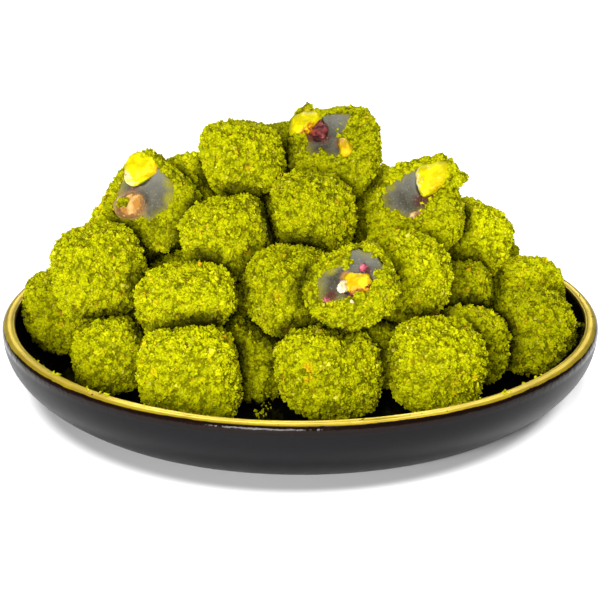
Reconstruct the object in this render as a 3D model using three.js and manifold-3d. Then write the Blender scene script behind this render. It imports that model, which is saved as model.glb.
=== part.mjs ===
// Pistachio-rolled Turkish delight, heaped in a shallow round dish with a gilded rim.
// Millimetres, +Z up. The origin is the centre of the dish's foot, and -Y is the side that is served from.
//
// Each sweet is a soft rounded block that lies on those under it, and where two sweets press on each other both are
// flattened. Four sweets are cut open: a coat round a jelly, with nut kernels and a bit of fruit set in the cut.
import * as THREE from 'three';
import { mergeVertices } from 'three/addons/utils/BufferGeometryUtils.js';
import Module from 'manifold-3d';

const wasm = await Module();
wasm.setup();

// ---- Driving sizes ----
const DISH = {
  rimRadius: 100, // outside, at the top
  rimWidth: 4.5, // the flat gilded top of the wall
  rimRound: 0.6, // rounding of the rim's outer edge
  height: 22.5,
  footRadius: 85, // the flat that it stands on
  floorHeight: 4.5, // top of the floor inside
  floorRadius: 82, // where the floor starts to rise into the wall
  segments: 64,
  wallSteps: 5,
};
const GAP = 0.5; // clear space kept between any two pieces
const OVER_RIM = 4; // how far above the rim a sweet still keeps inside the wall
const PRESS = 0.84; // how near two sweets lie, as a share of the reach of both
const SETTLE = { steps: 40, hold: 0.5 }; // how often sweets are moved apart, and how strongly each keeps its place
const LUMP = 0.03; // unevenness of a sweet, as a share of its radius
const ASKEW = 0.12; // how far a block's side is tilted, as a share of its distance from the centre
const OFF_SIZE = 0.04; // how much nearer or further a side is than it should be, as a share of the same
const COAT = 1.7; // thickness of the ground pistachio on a cut sweet
const JELLY_RECESS = 0.5; // how far the cut jelly lies below the coat's edge
const SET_IN = 0.3; // clear space between coat, jelly and what is set in it
const STEPS = { whole: 4, coat: 5, jelly: 4, filling: 3 }; // how finely the sides of a block are divided
const DOWN = new THREE.Vector3(0, 0, -1);
const UP = new THREE.Vector3(0, 0, 1);
const SIDES = [[1, 0, 0], [-1, 0, 0], [0, 1, 0], [0, -1, 0], [0, 0, 1], [0, 0, -1]];

const MATERIALS = {
  dish: new THREE.MeshStandardMaterial({ color: 0x1d1c1d, roughness: 0.35, metalness: 0 }),
  coat: new THREE.MeshStandardMaterial({ color: 0x9aa60c, roughness: 0.95, metalness: 0 }),
  jelly: new THREE.MeshStandardMaterial({ color: 0x77766c, roughness: 0.3, metalness: 0 }),
  kernel: new THREE.MeshStandardMaterial({ color: 0xe0cf12, roughness: 0.5, metalness: 0 }),
  fruit: new THREE.MeshStandardMaterial({ color: 0x5c0f1c, roughness: 0.4, metalness: 0 }),
};

// ---- Where the sweets lie ----
// at is a sweet's centre, and size is its width, depth and height. turn is about +Z, and lean tips its top towards +X
// and towards +Y, in degrees. A square sweet has a higher power than a round one.
const ON_THE_FLOOR = [
  { name: 'left_rim', at: [-81.5, 5, 20], size: [28, 29, 29], turn: 10, lean: [8, 0] },
  { name: 'front_left_small', at: [-61, -30, 17], size: [24, 24, 24.5], turn: 25, lean: [-6, 6], power: 4 },
  { name: 'front_left', at: [-34.5, -53, 20.5], size: [32.5, 29, 30.5], turn: 6, lean: [2, -4], power: 5 },
  { name: 'front_middle', at: [8, -52, 20.5], size: [32, 31, 31], turn: 30, lean: [4, 0] },
  { name: 'front_right', at: [43, -48, 21], size: [32, 31, 31], turn: 20, lean: [8, 5] },
  { name: 'right_inner', at: [54, -24, 20], size: [26, 26, 28], turn: 40, lean: [0, 0] },
  { name: 'right_rim', at: [76, -14, 20], size: [28, 28, 28.5], turn: 15, lean: [-6, 0] },
  { name: 'far_right_rim', at: [78, 18, 21], size: [28, 29, 27], turn: 5, lean: [0, 0] },
  { name: 'behind_small', at: [-51, -10, 18], size: [26, 26, 27], turn: 12, lean: [0, 0] },
  { name: 'between_left', at: [-14, -35, 18], size: [27, 26, 26], turn: 35, lean: [0, 0] },
  { name: 'between_right', at: [26, -28, 18], size: [26, 26, 27], turn: 18, lean: [0, 0] },
];
const SECOND_LAYER = [
  { name: 'left_big', at: [-65.8, -14, 40.2], size: [31, 30, 31], turn: 18, lean: [-12, 4], power: 4.5 },
  { name: 'slab', at: [-34.8, -32, 38], size: [37, 28, 22], turn: -6, lean: [-8, -14], power: 4.5 },
  { name: 'middle', at: [-1, -32, 40.5], size: [31.5, 31, 32], turn: 28, lean: [0, 0] },
  { name: 'middle_right', at: [33, -25, 42.5], size: [29, 29, 30.5], turn: 24, lean: [4, 0] },
  { name: 'right_big', at: [54.8, 10, 39], size: [27, 29, 28], turn: 10, lean: [26, 6], power: 4.5 },
  { name: 'right_slot', at: [54, -9, 30], size: [22, 22, 22], turn: 0, lean: [0, 0] },
  { name: 'left_shoulder', at: [-59, 24, 43], size: [26, 26, 26], turn: 15, lean: [0, 0] },
];
const THIRD_LAYER = [
  { name: 'upper_left', at: [-25.8, -10, 53.3], size: [32, 30, 27], turn: 22, lean: [-12, 0], power: 4.2 },
  { name: 'upper_middle', at: [4, -11, 58.5], size: [28, 28, 28], turn: 30, lean: [0, 0] },
  { name: 'upper_left_back', at: [-39, 22, 55], size: [26, 26, 26], turn: 10, lean: [0, 0] },
  { name: 'upper_right_back', at: [26, 23, 52], size: [28, 28, 28], turn: 20, lean: [0, 0] },
  { name: 'top_left', at: [-19, 11, 67.8], size: [29, 28, 26], turn: 12, lean: [-3, 4], power: 4.2 },
  { name: 'top_back', at: [-8, 31, 65.5], size: [26, 26, 26], turn: 0, lean: [0, 0] },
];
// A cut sweet also has the way its cut faces, how far the cut lies from its centre, and its fillings. A filling's at
// is measured on the cut, to the right and up from the middle.
const CUT_SWEETS = [
  {
    name: 'cut_middle', at: [14.2, -49, 47.2], size: [28.5, 24.5, 21.5], turn: 6, lean: [-27, 0],
    cut: { faces: [-0.3, -0.58, 0.76], offset: 3 },
    fillings: [{ of: 'kernel', at: [3.2, -0.4], size: [10.5, 6, 6], turn: 31 }],
  },
  {
    name: 'cut_left', at: [-46, 3.5, 58.2], size: [26, 27, 26], turn: 5, lean: [40, 0], power: 4.5,
    cut: { faces: [-0.3, -0.82, 0.49], offset: 3 },
    fillings: [
      { of: 'kernel', at: [-4.6, 9.8], size: [11, 9.5, 8], turn: 69 },
      { of: 'kernel', at: [-6, -2.6], size: [9.4, 7.4, 6], turn: 6 },
    ],
  },
  {
    name: 'cut_right', at: [36.6, -3, 57], size: [31, 30, 29], turn: -8, lean: [-18, 0], power: 4,
    cut: { faces: [-0.25, -0.7, 0.67], offset: 2 },
    fillings: [{ of: 'kernel', at: [5.6, 10.2], size: [12.4, 9.6, 8.5], turn: 51 }],
  },
  {
    name: 'cut_top', at: [9.8, 8, 71.8], size: [31, 30, 28], turn: 5, lean: [0, 0], power: 4,
    cut: { faces: [-0.35, -0.55, 0.76], offset: 4 },
    fillings: [
      { of: 'kernel', at: [-12, 7], size: [11, 7.5, 7], turn: 41 },
      { of: 'kernel', at: [7.2, 0.6], size: [9.2, 4.4, 5], turn: -42 },
      { of: 'fruit', at: [-5.6, 4.2], size: [7.6, 5, 5], turn: 97 },
    ],
  },
];
// Behind the sweets that are laid by hand, arcs about the middle of the dish fill the heap. An arc runs from the right
// to the left, and from is the angle of its first sweet, in degrees from +X.
const BACK_SIZE = 32;
const BACK_ARCS = [
  { name: 'floor_inner', radius: 16, height: 20, from: 20, step: 140, count: 2 },
  { name: 'floor_middle', radius: 46, height: 20, from: 20, step: 46, count: 4 },
  { name: 'floor_outer', radius: 78, height: 20, from: 36, step: 23, count: 6 },
  { name: 'second_inner', radius: 8, height: 44, from: 100, step: 0, count: 1 },
  { name: 'second_outer', radius: 56, height: 43, from: 50, step: 29, count: 4 },
];

// ---- Chance, the same on every run ----
function chanceFrom(seed) {
  let state = seed >>> 0;
  return () => {
    state = (state + 0x6d2b79f5) >>> 0;
    let mixed = Math.imul(state ^ (state >>> 15), state | 1);
    mixed ^= mixed + Math.imul(mixed ^ (mixed >>> 7), mixed | 61);
    return ((mixed ^ (mixed >>> 14)) >>> 0) / 4294967296;
  };
}

// A smooth unevenness from -1 to 1 for each direction: a few waves crossing at random.
function unevenness(chance) {
  const waves = Array.from({ length: 6 }, () => ({
    along: new THREE.Vector3(chance() - 0.5, chance() - 0.5, chance() - 0.5).normalize(),
    rate: 2.5 + 4 * chance(),
    phase: 2 * Math.PI * chance(),
  }));
  return (direction) => {
    const sum = waves.reduce((total, w) => total + Math.cos(w.rate * direction.dot(w.along) * 2 + w.phase), 0);
    return sum / waves.length;
  };
}

// ---- Solids ----
function solidFrom(geometry) {
  const bare = new THREE.BufferGeometry().setAttribute('position', geometry.getAttribute('position'));
  if (geometry.index) bare.setIndex(geometry.index);
  const merged = mergeVertices(bare, 1e-4);
  const vertProperties = merged.getAttribute('position').array;
  return new wasm.Manifold(new wasm.Mesh({ numProp: 3, vertProperties, triVerts: new Uint32Array(merged.index.array) }));
}

function geometryFrom(solid) {
  const { numProp, vertProperties, triVerts } = solid.getMesh();
  const count = vertProperties.length / numProp;
  const positions = new Float32Array(count * 3);
  for (let i = 0; i < count; i++) {
    positions.set(vertProperties.subarray(i * numProp, i * numProp + 3), i * 3);
  }
  const geometry = new THREE.BufferGeometry().setAttribute('position', new THREE.BufferAttribute(positions, 3));
  geometry.setIndex(new THREE.BufferAttribute(triVerts, 1));
  geometry.computeVertexNormals();
  return geometry;
}

// A block blown up into a ball, its sides divided evenly, with shared vertices.
function ball(steps) {
  const block = new THREE.BoxGeometry(2, 2, 2, steps, steps, steps);
  const bare = new THREE.BufferGeometry().setAttribute('position', block.getAttribute('position'));
  bare.setIndex(block.index);
  const position = bare.getAttribute('position');
  const point = new THREE.Vector3();
  for (let i = 0; i < position.count; i++) {
    point.fromBufferAttribute(position, i);
    point.set(...point.toArray().map((d) => Math.tan((d * Math.PI) / 4))).normalize();
    position.setXYZ(i, ...point);
  }
  return mergeVertices(bare, 1e-4);
}

// ---- The dish ----
// Radius of the wall inside, which rises from the floor in a curve and stands upright at the rim.
function insideRadius(z) {
  const rise = THREE.MathUtils.clamp((z - DISH.floorHeight) / (DISH.height - DISH.floorHeight), 0, 1);
  const rimInside = DISH.rimRadius - DISH.rimWidth;
  return rimInside - (rimInside - DISH.floorRadius) * (1 - rise) ** 2.2;
}

// Radius of the wall outside, which turns quickly out of the foot and then flares to the rim.
function outsideRadius(z) {
  return DISH.rimRadius - (DISH.rimRadius - DISH.footRadius) * (1 - z / DISH.height) ** 2.6;
}

function dish() {
  const profile = [new THREE.Vector2(0, 0), new THREE.Vector2(DISH.footRadius, 0)];
  const outsideTop = DISH.height - DISH.rimRound;
  for (let i = 1; i <= DISH.wallSteps; i++) {
    const z = outsideTop * (i / DISH.wallSteps) ** 1.6;
    profile.push(new THREE.Vector2(outsideRadius(z), z));
  }
  profile.push(new THREE.Vector2(DISH.rimRadius - DISH.rimRound, DISH.height));
  for (let i = DISH.wallSteps; i >= 0; i--) {
    const z = DISH.floorHeight + (DISH.height - DISH.floorHeight) * (i / DISH.wallSteps) ** 1.6;
    profile.push(new THREE.Vector2(insideRadius(z), z));
  }
  profile.push(new THREE.Vector2(0, DISH.floorHeight));
  return new THREE.LatheGeometry(profile, DISH.segments).rotateX(Math.PI / 2);
}

// ---- A sweet ----
class Sweet {
  constructor(spec, chance) {
    this.name = spec.name;
    this.spec = spec;
    this.half = spec.size.map((length) => length / 2);
    this.power = spec.power ?? 3.2;
    this.place = new THREE.Vector3(...spec.at);
    this.centre = this.place.clone();
    const [leanX, leanY] = spec.lean.map(THREE.MathUtils.degToRad);
    const turn = THREE.MathUtils.degToRad(spec.turn);
    this.fromOwnFrame = new THREE.Quaternion().setFromEuler(new THREE.Euler(-leanY, leanX, turn, 'XYZ'));
    this.toOwnFrame = this.fromOwnFrame.clone().invert();
    const off = () => 2 * chance() - 1;
    this.sides = SIDES.map((side, i) => ({
      normal: new THREE.Vector3(...side.map((d) => d + ASKEW * off())).normalize(),
      distance: this.half[Math.floor(i / 2)] * (1 + OFF_SIZE * off()),
    }));
    this.bump = unevenness(chance);
    this.pressed = []; // where a neighbour flattens it: {towards, distance} from the centre
  }

  // Distance from the centre to the surface, in a direction of the dish's frame. The sides of the block run into each
  // other in round edges, and the higher the power, the tighter the edges.
  reach(direction) {
    const own = direction.clone().applyQuaternion(this.toOwnFrame);
    const sum = this.sides.reduce((total, { normal, distance }) => (
      total + Math.max(0, own.dot(normal) / distance) ** this.power
    ), 0);
    return sum ** (-1 / this.power) * (1 + LUMP * this.bump(own));
  }

  // The surface about the centre, moved inwards by inset.
  skin(steps, inset = 0) {
    const geometry = ball(steps);
    const position = geometry.getAttribute('position');
    const direction = new THREE.Vector3();
    for (let i = 0; i < position.count; i++) {
      direction.fromBufferAttribute(position, i).applyQuaternion(this.fromOwnFrame);
      const point = direction.clone().multiplyScalar(this.reach(direction) - inset);
      this.flatten(point, inset);
      position.setXYZ(i, ...point);
    }
    geometry.computeVertexNormals();
    return geometry;
  }

  // Moves a point of the surface back behind its neighbours' planes and inside the dish.
  flatten(point, inset) {
    for (let pass = 0; pass < 3; pass++) {
      for (const { towards, distance } of this.pressed) {
        const over = point.dot(towards) - (distance - inset);
        if (over > 0) point.addScaledVector(towards, -over);
      }
      const lowest = DISH.floorHeight + GAP - this.centre.z + inset;
      point.z = Math.max(point.z, lowest);
      const across = Math.hypot(point.x + this.centre.x, point.y + this.centre.y);
      const most = insideRadius(point.z + this.centre.z) - GAP - inset;
      if (this.centre.z + point.z < DISH.height + OVER_RIM && across > most) {
        point.x -= (point.x + this.centre.x) * (1 - most / across);
        point.y -= (point.y + this.centre.y) * (1 - most / across);
      }
    }
  }
}

// Moves two sweets apart until they only press on each other.
function part(a, b) {
  const towards = b.centre.clone().sub(a.centre);
  const apart = towards.length();
  if (apart > 1.3 * (a.half[0] + b.half[0])) return;
  towards.divideScalar(apart);
  const over = PRESS * (a.reach(towards) + b.reach(towards.clone().negate())) - apart;
  if (over <= 0) return;
  a.centre.addScaledVector(towards, -over / 2);
  b.centre.addScaledVector(towards, over / 2);
}

// Keeps a sweet on the floor of the dish and inside its wall.
function keepInDish(sweet) {
  const { centre } = sweet;
  centre.z = Math.max(centre.z, DISH.floorHeight + GAP + sweet.reach(DOWN));
  const outward = new THREE.Vector3(centre.x, centre.y, 0).normalize();
  const across = Math.hypot(centre.x, centre.y);
  const most = insideRadius(centre.z) - GAP - PRESS * sweet.reach(outward);
  if (centre.z < DISH.height && across > most) centre.addScaledVector(outward, most - across);
}

// Lets the heap settle. At each step a sweet is drawn back to its place and moved away from those that it presses on.
function settle(sweets) {
  for (let step = 0; step < SETTLE.steps; step++) {
    for (const { centre, place } of sweets) centre.lerp(place, SETTLE.hold);
    sweets.forEach((a, i) => sweets.slice(i + 1).forEach((b) => part(a, b)));
    sweets.forEach(keepInDish);
  }
}

// Gives each two neighbours a plane between them that neither crosses, so that they flatten each other.
function press(sweets) {
  sweets.forEach((a, i) => sweets.slice(i + 1).forEach((b) => {
    const towards = b.centre.clone().sub(a.centre);
    const apart = towards.length();
    towards.divideScalar(apart);
    const back = towards.clone().negate();
    const reachA = a.reach(towards);
    const reachB = b.reach(back);
    const spare = (apart - reachA - reachB - GAP) / 2;
    if (spare > Math.min(reachA, reachB) / 2) return;
    a.pressed.push({ towards, distance: reachA + spare });
    b.pressed.push({ towards: back, distance: reachB + spare });
  }));
}

// ---- Cut sweets ----
// Two directions on a cut, to the right and up for someone who looks straight at it.
function cutFrame(cut) {
  const out = new THREE.Vector3(...cut.faces).normalize();
  const right = new THREE.Vector3().crossVectors(UP, out).normalize();
  return { out, right, up: new THREE.Vector3().crossVectors(out, right) };
}

// A block that takes away all that lies beyond a plane.
function knife({ out, right, up }, distance) {
  const side = 90;
  const frame = new THREE.Matrix4().makeBasis(right, up, out);
  const block = new THREE.BoxGeometry(side, side, side).translate(0, 0, distance + side / 2).applyMatrix4(frame);
  return solidFrom(block);
}

// A kernel or a bit of fruit that is set in the cut, grown by clearance on all sides.
function filling({ right, up, out }, distance, spec, clearance) {
  const [long, wide, thick] = spec.size.map((length) => length / 2 + clearance);
  const frame = new THREE.Matrix4().makeBasis(right, up, out);
  const shape = ball(STEPS.filling)
    .scale(long, wide, thick)
    .rotateZ(THREE.MathUtils.degToRad(spec.turn))
    .translate(spec.at[0], spec.at[1], distance)
    .applyMatrix4(frame);
  return solidFrom(shape);
}

// The pieces of a cut sweet: its coat, its jelly and what is set in it.
function cutOpen(sweet, { cut, fillings }) {
  const frame = cutFrame(cut);
  const jellyLevel = cut.offset - JELLY_RECESS;
  const outside = solidFrom(sweet.skin(STEPS.coat));
  let coat = outside.subtract(solidFrom(sweet.skin(STEPS.jelly, COAT))).subtract(knife(frame, cut.offset));
  let jelly = solidFrom(sweet.skin(STEPS.jelly, COAT + SET_IN)).subtract(knife(frame, jellyLevel));
  const pieces = fillings.map((spec, i) => {
    const hollow = filling(frame, jellyLevel, spec, SET_IN);
    coat = coat.subtract(hollow);
    jelly = jelly.subtract(hollow);
    return { name: `${sweet.name}_${spec.of}_${i + 1}`, solid: filling(frame, jellyLevel, spec, 0), of: spec.of };
  });
  return [
    { name: `${sweet.name}_coat`, solid: coat, of: 'coat' },
    { name: `${sweet.name}_jelly`, solid: jelly, of: 'jelly' },
    ...pieces,
  ];
}

// ---- The heap ----
// Sweets of one arc, with a little chance in place, size and turn.
function arc({ name, radius, height, from, step, count }, chance) {
  const vary = (amount) => (chance() - 0.5) * 2 * amount;
  return Array.from({ length: count }, (_, i) => {
    const angle = THREE.MathUtils.degToRad(from + i * step + vary(2));
    return {
      name: `${name}_${i + 1}`,
      at: [radius * Math.cos(angle), radius * Math.sin(angle), height],
      size: [0, 1, 2].map(() => BACK_SIZE + vary(1.5)),
      turn: vary(40),
      lean: [vary(8), vary(8)],
      power: 2.7 + vary(0.4),
    };
  });
}

function layHeap() {
  const chance = chanceFrom(11);
  const laidByHand = [...ON_THE_FLOOR, ...SECOND_LAYER, ...THIRD_LAYER, ...CUT_SWEETS];
  const behind = BACK_ARCS.flatMap((spec) => arc(spec, chance));
  const heap = [...laidByHand, ...behind].map((spec) => new Sweet(spec, chance));
  settle(heap);
  press(heap);
  return heap;
}

// ---- The served dish ----
function add(group, name, geometry, material, centre = new THREE.Vector3()) {
  const mesh = new THREE.Mesh(geometry, material);
  mesh.name = name;
  mesh.position.copy(centre);
  group.add(mesh);
}

const servedDish = new THREE.Group();
add(servedDish, 'dish', dish(), MATERIALS.dish);
for (const sweet of layHeap()) {
  if (sweet.spec.cut) {
    for (const { name, solid, of } of cutOpen(sweet, sweet.spec)) {
      add(servedDish, name, geometryFrom(solid), MATERIALS[of], sweet.centre);
    }
  } else {
    add(servedDish, sweet.name, sweet.skin(STEPS.whole), MATERIALS.coat, sweet.centre);
  }
}

export default servedDish;
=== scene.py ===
import math

import bmesh
import bpy
from mathutils import Matrix, Vector, geometry, noise
from mathutils.bvhtree import BVHTree


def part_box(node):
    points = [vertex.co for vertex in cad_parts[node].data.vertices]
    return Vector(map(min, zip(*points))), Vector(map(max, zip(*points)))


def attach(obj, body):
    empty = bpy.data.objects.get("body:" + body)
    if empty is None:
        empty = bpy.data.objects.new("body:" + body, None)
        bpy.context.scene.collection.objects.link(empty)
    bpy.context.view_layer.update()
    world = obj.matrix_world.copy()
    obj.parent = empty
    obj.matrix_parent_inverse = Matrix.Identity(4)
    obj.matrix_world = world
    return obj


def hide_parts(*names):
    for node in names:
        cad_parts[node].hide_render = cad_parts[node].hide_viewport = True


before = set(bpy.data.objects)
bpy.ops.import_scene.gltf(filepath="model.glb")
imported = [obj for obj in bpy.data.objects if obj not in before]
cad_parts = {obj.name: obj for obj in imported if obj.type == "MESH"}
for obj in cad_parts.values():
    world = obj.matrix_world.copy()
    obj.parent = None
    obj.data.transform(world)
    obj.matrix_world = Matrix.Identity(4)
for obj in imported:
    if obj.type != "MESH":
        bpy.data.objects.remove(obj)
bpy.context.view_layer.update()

MM = 0.001

# ---- The camera ----
# It looks across the dish from its serving side, a little from above.
CAMERA_AIM = Vector((0, 0, 22 * MM))
CAMERA_DISTANCE = 600 * MM
CAMERA_ELEVATION = math.radians(19.8)


def new_object(name, data):
    made = bpy.data.objects.new(name, data)
    bpy.context.scene.collection.objects.link(made)
    return made


camera_data = bpy.data.cameras.new("camera")
camera_data.sensor_width = 36
camera_data.lens = 106.15
camera_data.shift_y = 0.0155
camera_data.clip_start = 10 * MM
camera_data.clip_end = 20
camera = new_object("camera", camera_data)
towards_camera = Vector((0, -math.cos(CAMERA_ELEVATION), math.sin(CAMERA_ELEVATION)))
camera.location = CAMERA_AIM + towards_camera * CAMERA_DISTANCE
camera.rotation_euler = (math.pi / 2 - CAMERA_ELEVATION, 0, 0)
bpy.context.scene.camera = camera

# ---- The dish ----
# Thrown stoneware in a black glaze: glossy inside and along the lip, satin outside. The flat of the rim is
# gilded by hand, so the gold has uneven edges. It is one surface turned about the dish's axis.
RIM_RADIUS = 100 * MM
RIM_WIDTH = 4.5 * MM
LIP_ROUND_OUT = 2.0 * MM
LIP_ROUND_IN = 0.6 * MM
RIM_HOLLOW = 0.1 * MM
RIM_STEPS = 6
DISH_HEIGHT = 22.5 * MM
FOOT_RADIUS = 85 * MM
FOOT_ROUND = 0.6 * MM
FLOOR_HEIGHT = 4.5 * MM
FLOOR_RADIUS = 82 * MM
TURN_STEPS = 288
WALL_STEPS = 22
ROUND_STEPS = 5
RIM_WOBBLE = 0.2 * MM
WOBBLE_REACH = 12 * MM
WOBBLE_SWELLS = 2.5
INSIDE_FLARE = 2.2
OUTSIDE_FLARE = 2.6
RING_CROWDING = 1.5
BLACK_WALL = (0.0035, 0.0032, 0.004)
BLACK_LIP = (0.006, 0.0025, 0.0015)
GREY_SPECKS = (0.016, 0.016, 0.018)
GOLD_INSIDE = (0.62, 0.465, 0.04)
GOLD_OUTSIDE = (0.56, 0.39, 0.004)
GOLD_DULL = (0.44, 0.31, 0.02)
GOLD_STREAKS = (0.36, 0.24, 0.01)
GOLD_DARK_REFLECTION = (0.44, 0.33, 0.02)
GOLD_BLACK_REFLECTION = (0.1, 0.07, 0.004)
GOLD_SHEEN = 0.55
LIP_RIPPLE = 15.0


def is_socket(value):
    return isinstance(value, bpy.types.NodeSocket)


def node(tree, kind, inputs=None, **settings):
    made = tree.nodes.new(kind)
    for name, value in settings.items():
        setattr(made, name, value)
    for key, value in (inputs or {}).items():
        if is_socket(value):
            tree.links.new(value, made.inputs[key])
        else:
            made.inputs[key].default_value = value
    return made


def math_node(operation, *values):
    tree = next(value.id_data for value in values if is_socket(value))
    return node(tree, "ShaderNodeMath", dict(enumerate(values)), operation=operation).outputs[0]


def plus(first, second):
    return math_node("ADD", first, second)


def minus(first, second):
    return math_node("SUBTRACT", first, second)


def times(first, second):
    return math_node("MULTIPLY", first, second)


def times_plus(first, second, third):
    return math_node("MULTIPLY_ADD", first, second, third)


def remap(value, low, high, to_low=0.0, to_high=1.0):
    inputs = {"Value": value, "From Min": low, "From Max": high, "To Min": to_low, "To Max": to_high}
    return node(value.id_data, "ShaderNodeMapRange", inputs, interpolation_type="SMOOTHSTEP").outputs[0]


def blend(share, first, second):
    inputs = {0: share, 2: first, 3: second}
    return node(share.id_data, "ShaderNodeMix", inputs, data_type="FLOAT").outputs[0]


def mix_colours(share, first, second, blending="MIX"):
    tree = next(value.id_data for value in (share, first, second) if is_socket(value))
    inputs = {0: share, 6: first, 7: second}
    for key, value in inputs.items():
        inputs[key] = (*value, 1) if isinstance(value, tuple) else value
    return node(tree, "ShaderNodeMix", inputs, data_type="RGBA", blend_type=blending).outputs[2]


def noise_on(where, scale, detail):
    inputs = {"Vector": where, "Scale": scale, "Detail": detail}
    return node(where.id_data, "ShaderNodeTexNoise", inputs).outputs[0]


def feed(shader, socket, value):
    value.id_data.links.new(value, shader.inputs[socket])


def emboss(shader, height, strength, depth):
    """Fine relief in a finish."""
    inputs = {"Height": height, "Strength": strength, "Distance": depth}
    feed(shader, "Normal", node(height.id_data, "ShaderNodeBump", inputs).outputs[0])


def mark(mesh, name, values):
    """Marks the points of a mesh, each with a value of its own."""
    mesh.attributes.new(name, "FLOAT", "POINT").data.foreach_set("value", values)


def marked(tree, name):
    """What a finish reads of such marks."""
    return node(tree, "ShaderNodeAttribute", attribute_name=name).outputs["Fac"]


def new_material(name, **constants):
    material = bpy.data.materials.new(name)
    material.use_nodes = True
    tree = material.node_tree
    shader = tree.nodes["Principled BSDF"]
    for socket, value in constants.items():
        shader.inputs[socket.replace("_", " ")].default_value = value
    place_on = node(tree, "ShaderNodeTexCoord").outputs["Object"]
    return material, tree, shader, place_on


def place(name, mesh, material):
    made = new_object(name, mesh)
    mesh.materials.clear()
    mesh.materials.append(material)
    return made


def inside_radius(z):
    rise = (z - FLOOR_HEIGHT) / (DISH_HEIGHT - FLOOR_HEIGHT)
    rim_inside = RIM_RADIUS - RIM_WIDTH
    return rim_inside - (rim_inside - FLOOR_RADIUS) * (1 - rise) ** INSIDE_FLARE


def outside_radius(z):
    return RIM_RADIUS - (RIM_RADIUS - FOOT_RADIUS) * (1 - z / DISH_HEIGHT) ** OUTSIDE_FLARE


def turns(count):
    """Angles that go once round in equal steps."""
    return [2 * math.pi * i / count for i in range(count)]


def rounding(radius_centre, z_centre, size, start, end, outside):
    for i in range(ROUND_STEPS + 1):
        angle = math.radians(start + (end - start) * i / ROUND_STEPS)
        yield radius_centre + size * math.cos(angle), z_centre + size * math.sin(angle), outside


def dish_profile():
    """Radius, height and how far outside, from the middle of the underside to the middle of the floor."""
    yield from ((FOOT_RADIUS * share, 0, 1) for share in (0, 0.35, 0.7, 0.9, 0.97))
    yield from rounding(FOOT_RADIUS - FOOT_ROUND, FOOT_ROUND, FOOT_ROUND, -90, -35, 1)
    top = DISH_HEIGHT - LIP_ROUND_OUT
    for i in range(1, WALL_STEPS):
        z = FOOT_ROUND + (top - FOOT_ROUND) * (i / WALL_STEPS) ** RING_CROWDING
        yield outside_radius(z), z, 1
    yield from rounding(RIM_RADIUS - LIP_ROUND_OUT, top, LIP_ROUND_OUT, 0, 90, 1)
    inner_top = DISH_HEIGHT - LIP_ROUND_IN
    inner_centre = inside_radius(DISH_HEIGHT) + LIP_ROUND_IN
    flat = RIM_RADIUS - LIP_ROUND_OUT - inner_centre
    for i in range(1, RIM_STEPS):
        share = i / RIM_STEPS
        hollow = RIM_HOLLOW * math.sin(math.pi * share)
        yield inner_centre + flat * (1 - share), DISH_HEIGHT - hollow, 1 - share
    yield from rounding(inner_centre, inner_top, LIP_ROUND_IN, 90, 180, 0)
    for i in range(WALL_STEPS - 1, -1, -1):
        z = FLOOR_HEIGHT + (inner_top - FLOOR_HEIGHT) * (i / WALL_STEPS) ** RING_CROWDING
        yield inside_radius(z), z, 0
    yield from ((FLOOR_RADIUS * share, FLOOR_HEIGHT, 0) for share in (0.9, 0.6, 0.3, 0))


def dish_mesh():
    points, faces, outside, rings = [], [], [], []
    for r, z, out in dish_profile():
        ring = []
        for angle in turns(TURN_STEPS if r else 1):
            x, y = math.cos(angle), math.sin(angle)
            near_rim = max(0, 1 - abs(DISH_HEIGHT - z) / WOBBLE_REACH) ** 2
            swell = noise.noise((WOBBLE_SWELLS * x, WOBBLE_SWELLS * y, out * 4.0))
            radius = r - RIM_WOBBLE * near_rim * (0.5 + swell) * (1 if out else -1)
            ring.append(len(points))
            points.append((radius * x, radius * y, z))
            outside.append(out)
        rings.append(ring)
    for lower, upper in zip(rings, rings[1:]):
        for i in range(TURN_STEPS):
            steps = (lower, i), (lower, i + 1), (upper, i + 1), (upper, i)
            corners = [ring[step % len(ring)] for ring, step in steps]
            faces.append(tuple(dict.fromkeys(corners)))
    mesh = bpy.data.meshes.new("serving_dish")
    mesh.from_pydata(points, [], faces)
    mark(mesh, "outside", outside)
    mesh.shade_smooth()
    return mesh


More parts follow.
